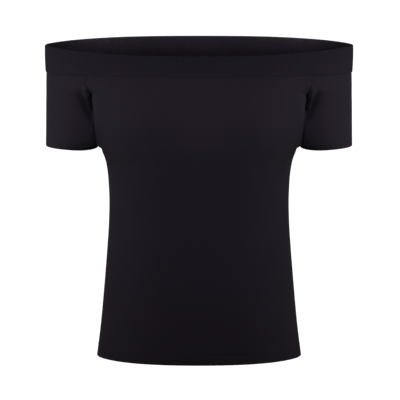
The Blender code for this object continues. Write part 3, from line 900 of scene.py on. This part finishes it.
sleeveBackCreases = {
    "right": (
        creaseNames,
        (0.190, -0.040, 0.176, -0.062, 0.162, -0.078, 0.0065, -0.0018),
        (0.180, -0.084, 0.170, -0.098, 0.157, -0.108, 0.0070, -0.0012),
    ),
    "left": (
        creaseNames,
        (0.186, -0.036, 0.174, -0.055, 0.161, -0.070, 0.0060, -0.0015),
        (0.184, -0.078, 0.172, -0.094, 0.158, -0.104, 0.0075, -0.0015),
    ),
}


# Front and back

# Each wall: its half, the part that it belongs to, and which way is out of it
frontWall = (frontHalf, "body", 1)
backWall = (backHalf, "body", -1)
sleeveFrontWall = (sleeveFront, "sleeve", -1)
sleeveBackWall = (sleeveBack, "sleeve", 1)
levelRows = 3                      # rows under the neckband that stand level, as its lower edge does


def rowKey(height):
    return round(float(height), 6)


def keyed(heights, ways):
    return {rowKey(height): way for height, way in zip(heights, ways)}


def waysAt(heights, known):
    return np.array([known[rowKey(height)] for height in heights])


def belowUnderarm(heights):
    return heights[heights < edges["underarmHeight"] - 1e-9]


def armholeWays(panel, sleeve):
    heights = np.array(sorted(set(armholeRows), reverse=True))
    shared = sharedWay(heights, panel, sleeve)
    shared[-1] = unit(np.array(underarmFacing))
    return keyed(heights, shared)


def levelTop(grid):
    top = grid["out"][:levelRows]
    grid["out"][:levelRows] = unit(top * (1, 1, 0))


def ribbed(wall):
    return runTree(wall, ribs, {"Relief": cloth["ribRelief"], "Material": jersey})


def makePanel(name, wall, sleeve, opposite, creases):
    known = armholeWays(wall, sleeve)
    below = belowUnderarm(bodyHeights)
    known.update(keyed(below, sharedWay(below, wall, opposite)))
    grid = halfGrid(*wall, bodyHeights)
    leanTo(grid, waysAt(bodyHeights, known))
    grid = joined(grid, grid, flip=True)
    levelTop(grid)
    fold = creased(grid["points"], creases)
    outer, inner = wallSides(grid, "body", bodyHeights, bodyStitchRows, fold)
    return ribbed(clothMesh(name, outer, inner, grid["out"], grid["column"], grid["rib"]))


front = makePanel("jersey_front", frontWall, sleeveFrontWall, backWall, frontCreases)
print("front made:", len(front.data.polygons), "faces")
back = makePanel("jersey_back", backWall, sleeveBackWall, frontWall, backCreases)
print("back made:", len(back.data.polygons), "faces")


# Sleeves

def sleeveGrid(wall, panel):
    # Half a sleeve. Its cuff's rows above the underarm end at the armhole too.
    known = armholeWays(panel, wall)
    below = belowUnderarm(sleeveHeights)
    known.update(keyed(below, sharedWay(below, sleeveFrontWall, sleeveBackWall)))
    others = np.array([height for height in sleeveHeights if rowKey(height) not in known])
    known.update(keyed(others, sharedWay(others, wall, panel)))
    grid = halfGrid(*wall, sleeveHeights)
    leanTo(grid, waysAt(sleeveHeights, known))
    return grid


def makeSleeve(name, hand, side):
    first = sleeveGrid(sleeveFrontWall, frontWall)
    second = sleeveGrid(sleeveBackWall, backWall)
    foldFront = creased(first["points"], sleeveFrontCreases[hand])
    foldBack = creased(second["points"], sleeveBackCreases[hand])
    fold = np.concatenate([foldFront[:, :0:-1], foldBack], axis=1)
    grid = joined(first, second, flip=False)
    levelTop(grid)
    outer, inner = wallSides(grid, "sleeve", sleeveHeights, sleeveStitchRows, fold)
    hanging = np.array((side, 1, 1))
    return ribbed(clothMesh(
        name, outer * hanging, inner * hanging, grid["out"] * hanging, grid["column"], grid["rib"]))


sleeveRight = makeSleeve("jersey_sleeve_right", "right", 1)
sleeveLeft = makeSleeve("jersey_sleeve_left", "left", -1)
print("sleeves made:", len(sleeveRight.data.polygons), "faces each")


# Neckband

band = {
    "cloth": 0.0026,
    "proud": 0.0008,
    "relief": 0.00058,
    "columnsPerRib": 8,
    "columnsAPlainStep": 8,
    "roll": 0.0013,                # radius of the lower edge, where the band is sewn on
    "fullness": 0.0005,            # how far the doubled cloth swells between its seam and its fold
    "levelWithin": 0.004,          # how far above its seam the band still leans to level
    "insideRoll": 0.35,            # shares of the roll and the swell that the inside has
    "insideSwell": 0.5,
    "wallRows": 7,
    "samples": 400,
}
rollShares = (0.0, 0.06, 0.25, 0.55, 1.0)
foldDegrees = (22, 45, 68, 90, 112, 135, 158)


def ringAt(heightOf):
    # A line all round the top, at the height that the function gives for each of its points
    t = np.linspace(0, 1, band["samples"])
    arcs = []
    for half, backwards in ((frontHalf, False), (sleeveFront, True), (sleeveBack, False), (backHalf, True)):
        height = np.zeros(len(t))
        for _ in range(settlingRounds):
            height = heightOf(half(t, height))
        arc = half(t, height)
        arcs.append((arc[::-1] if backwards else arc)[:-1])
    right = np.concatenate(arcs + [half(t, height)[:1]])
    left = right[-2:0:-1] * (-1, 1, 1)
    return np.concatenate([right, left])


def evenly(curve, count):
    closed = np.concatenate([curve, curve[:1]])
    length = np.concatenate([[0], np.cumsum(np.linalg.norm(np.diff(closed, axis=0), axis=1))])
    at = np.linspace(0, length[-1], count, endpoint=False)
    return np.stack([np.interp(at, length, closed[:, axis]) for axis in range(3)], axis=1)


def makeBand():
    seam = ringAt(lambda points: bandSeamAt(points) + edges["seamGap"] / 2)
    rim = ringAt(rimHeightAt)
    girth = np.linalg.norm(np.diff(seam, axis=0), axis=1).sum()
    steps = round(2 * girth / cloth["ribPitch"] / band["columnsAPlainStep"])
    ribCount = steps * band["columnsAPlainStep"] // 2
    count = ribCount * band["columnsPerRib"]
    seam, rim = evenly(seam, count), evenly(rim, count)
    radius = band["cloth"] / 2
    rise = rim - (0, 0, radius) - seam
    along = np.linalg.norm(rise, axis=1).mean()
    near = np.array(rollShares) * band["roll"] / along
    share = np.concatenate([near, np.linspace(0.1, 1.0, band["wallRows"])])[:, None, None]
    wall = seam + rise * share
    across = np.roll(wall, -1, axis=1) - np.roll(wall, 1, axis=1)
    out = unit(np.cross(across, (rim - seam)[None]))
    level = np.clip(1 - share * along / band["levelWithin"], 0, 1)
    out = unit(out * (1 - level * (0, 0, 1)))
    rolled = np.clip(1 - share * along / band["roll"], 0, 1)
    inset = band["roll"] * (1 - np.sqrt(1 - rolled * rolled))
    swell = band["fullness"] * np.sin(np.pi * np.clip(share, 0, 1)) ** 0.8
    outside = wall + out * (band["proud"] - inset + swell)
    innerForm = band["insideRoll"] * inset - band["insideSwell"] * swell
    inside = wall + out * (band["proud"] - band["cloth"] + innerForm)
    mid = wall[-1] + out[-1] * (band["proud"] - radius)
    crown, crownOut = [], []
    for angle in np.radians(foldDegrees):
        way = out[-1] * math.cos(angle) + np.array((0, 0, math.sin(angle)))
        crown.append(mid + way * radius)
        crownOut.append(unit(way))
    rows = np.concatenate([outside, np.array(crown), inside[::-1]])
    ways = np.concatenate([out, np.array(crownOut), -out[::-1]])
    return rows, ways, ribCount


def bandMesh(name, rows, ways):
    total, count = rows.shape[:2]
    index = np.arange(total)[:, None] * count + np.append(np.arange(count), 0)[None, :]
    index = np.concatenate([index, index[:1]])
    rib = np.arange(count + 1) / band["columnsPerRib"] + np.zeros((total + 1, 1))
    steps = np.linalg.norm(np.diff(np.concatenate([rows, rows[:1]]), axis=0), axis=2).mean(axis=1)
    down = np.concatenate([[0], np.cumsum(steps)])[:, None] + np.zeros((1, count + 1))
    uv = np.stack([rib, down], axis=-1)

    def quads(grid):
        return np.stack([grid[:-1, :-1], grid[:-1, 1:], grid[1:, 1:], grid[1:, :-1]], axis=2)

    corners = quads(index).reshape(-1, 4).tolist()
    places = quads(uv).reshape(-1, 2)
    return knitObject(name, rows.reshape(-1, 3), corners, places, ways, rib[:-1, :-1])


bandRows, bandWays, bandRibs = makeBand()
neckband = bandMesh("jersey_neckband", bandRows, bandWays)
runTree(neckband, ribs, {"Relief": band["relief"], "Material": bandJersey})
print("neckband made:", bandRibs, "ribs,", len(neckband.data.polygons), "faces")


# Twin-needle stitching on the hems

stitching = {
    "pitch": 0.0030,
    "size": (0.0026, 0.00042, 0.00036),
    "sunk": 0.00012,
    "seed": 3,
    "samples": 160,
    "lastShare": 0.995,            # of half a piece, where the stitches end before its seam
}


def hemLine(stretch, above):
    # Places and facings from the middle of a piece to its seam; a stretch is a wall, on +X or -X
    (half, part, side), hand = stretch
    t = np.linspace(0, stitching["lastShare"], stitching["samples"])
    height = np.full(len(t), lowRows[part] + above)
    way = facing(half, part, t, height, side) * (hand, 1, 1)
    return levelled(half, part, t, height) * (hand, 1, 1) - way * stitching["sunk"], way


def sewHem(name, first, second, stitchRows):
    # Stitches from the seam of the first stretch over the middle to the seam of the second one
    points, ways, links = [], [], []
    for above in stitchRows:
        sides = zip(hemLine(first, above), hemLine(second, above))
        line, out = (np.concatenate([before[::-1], after[1:]]) for before, after in sides)
        start = sum(len(row) for row in points)
        links += [(start + i, start + i + 1) for i in range(len(line) - 1)]
        points.append(line)
        ways.append(out)
    mesh = bpy.data.meshes.new(name)
    mesh.from_pydata(np.concatenate(points).tolist(), links, [])
    addAttribute(mesh, "out", "FLOAT_VECTOR", "vector", np.concatenate(ways))
    return runTree(linked(name, mesh), stitches, {
        "Pitch": stitching["pitch"], "Size": stitching["size"], "Seed": stitching["seed"],
        "Material": thread,
    })


hemFront = sewHem("hem_stitches_front", (frontWall, -1), (frontWall, 1), bodyStitchRows)
hemBack = sewHem("hem_stitches_back", (backWall, -1), (backWall, 1), bodyStitchRows)
cuffRight = sewHem(
    "hem_stitches_sleeve_right", (sleeveFrontWall, 1), (sleeveBackWall, 1), sleeveStitchRows)
cuffLeft = sewHem(
    "hem_stitches_sleeve_left", (sleeveFrontWall, -1), (sleeveBackWall, -1), sleeveStitchRows)
print("hems stitched")


# Each piece and its stitches hang under the root, and the solid that the piece stands for is hidden

sheets = (
    (front, "front", (0.36, 0.41), [hemFront]),
    (back, "back", (0.36, 0.41), [hemBack]),
    (sleeveRight, "sleeve_right", (0.29, 0.11), [cuffRight]),
    (sleeveLeft, "sleeve_left", (0.29, 0.11), [cuffLeft]),
    (neckband, "neckband", (1.0, 0.038), []),
)
for piece, node, flat, sewn in sheets:
    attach(piece, "root")
    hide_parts(node)
    for item in sewn:
        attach(item, "root")


# Studio

studio = {
    "backdrop": 1.05,
    "fill": 0.115,
    "aim": (0.00136, 0.0, -0.2017),
    "distance": 5.0,
    "elevation": 7.0,
    "frameWidth": 0.572,
    "viewEnd": 1000,
    "floorDrop": 7.5,
    "floorSize": 400.0,
    "floorShade": 0.9,
}
# Thin strips over the neck light the inside of the neckband's back, each facing the cloth nearest to it
neckLights = {
    "height": 0.054,
    "reach": 0.1,
    "width": 0.008,
    "powerPerMetre": 0.62,
    "strips": (                    # x, y, how far the aim lies further out, and length
        (0, 0.067, 0, 0.11),
        (0.108, 0.0535, 0.027, 0.09),
        (0.152, 0.0366, 0.052, 0.06),
    ),
}


def directionTo(way):
    return Vector(way).to_track_quat("-Z", "Y").to_euler()


def softbox(name, place, aim, size, power):
    light = bpy.data.lights.new(name, "AREA")
    light.shape = "RECTANGLE"
    light.size, light.size_y = size
    light.energy = power
    obj = linked(name, light)
    obj.location = place
    obj.rotation_euler = directionTo(np.array(aim) - np.array(place))
    obj.visible_camera = False


def lightNeck():
    height = neckLights["height"]
    for x, y, turn, length in neckLights["strips"]:
        hands = (-1, 1) if x else (1,)
        for hand in hands:
            aim = hand * (x + turn), y + neckLights["reach"], height
            power = neckLights["powerPerMetre"] * length
            softbox("neckLight", (hand * x, y, height), aim, (length, neckLights["width"]), power)


def makeWorld():
    world = bpy.data.worlds.new("studio")
    bpy.context.scene.world = world
    world.use_nodes = True
    tree = world.node_tree
    tree.nodes.clear()
    path = addNode(tree, "ShaderNodeLightPath")
    mix = addNode(tree, "ShaderNodeMixShader")
    output = addNode(tree, "ShaderNodeOutputWorld")
    tree.links.new(path.outputs["Is Camera Ray"], mix.inputs[0])
    for strength, socket in ((studio["fill"], mix.inputs[1]), (studio["backdrop"], mix.inputs[2])):
        white = addNode(tree, "ShaderNodeBackground")
        white.inputs["Strength"].default_value = strength
        white.inputs["Color"].default_value = (1, 1, 1, 1)
        tree.links.new(white.outputs[0], socket)
    tree.links.new(mix.outputs[0], output.inputs[0])


def makeFloor():
    # The top hangs as it is worn, so the floor is far below it
    half = studio["floorSize"] / 2
    drop = -studio["floorDrop"]
    mesh = bpy.data.meshes.new("floor")
    corners = [(-half, -half, drop), (half, -half, drop), (half, half, drop), (-half, half, drop)]
    mesh.from_pydata(corners, [], [(0, 1, 2, 3)])
    floor = linked("floor", mesh)
    material = bpy.data.materials.new("paleFloor")
    material.use_nodes = True
    shader = material.node_tree.nodes["Principled BSDF"]
    shade = studio["floorShade"]
    shader.inputs["Base Color"].default_value = (shade, shade, shade, 1)
    shader.inputs["Roughness"].default_value = 0.9
    shader.inputs["Emission Color"].default_value = (1, 1, 1, 1)
    shader.inputs["Emission Strength"].default_value = studio["backdrop"]
    mesh.materials.append(material)
    floor.visible_diffuse = False
    floor.visible_glossy = False


def makeCamera():
    camera = bpy.data.cameras.new("camera")
    camera.lens = camera.sensor_width * studio["distance"] / studio["frameWidth"]
    camera.clip_end = studio["viewEnd"]
    obj = linked("camera", camera)
    angle = math.radians(studio["elevation"])
    aim = np.array(studio["aim"])
    away = np.array((0, -math.cos(angle), math.sin(angle))) * studio["distance"]
    obj.location = aim + away
    obj.rotation_euler = directionTo(-away)
    bpy.context.scene.camera = obj


makeWorld()
makeFloor()
makeCamera()
softbox("chestLight", (0, -0.5, 0.045), (0, 0.1, 0), (0.7, 0.06), 1.62)
for side in (-1, 1):
    softbox("bodyLight", (side * 0.53, -0.32, -0.08), (0, -0.05, -0.15), (0.2, 0.4), 1.22)
    softbox("sleeveLight", (side * 0.7, 0, 0), (side * 0.2, 0, -0.06), (0.2, 0.3), 1.2)
softbox("backLight", (0, 0.9, 0.1), (0, 0, -0.15), (0.9, 0.5), 5)
lightNeck()
bpy.context.scene.view_settings.view_transform = "Standard"
print("studio made")
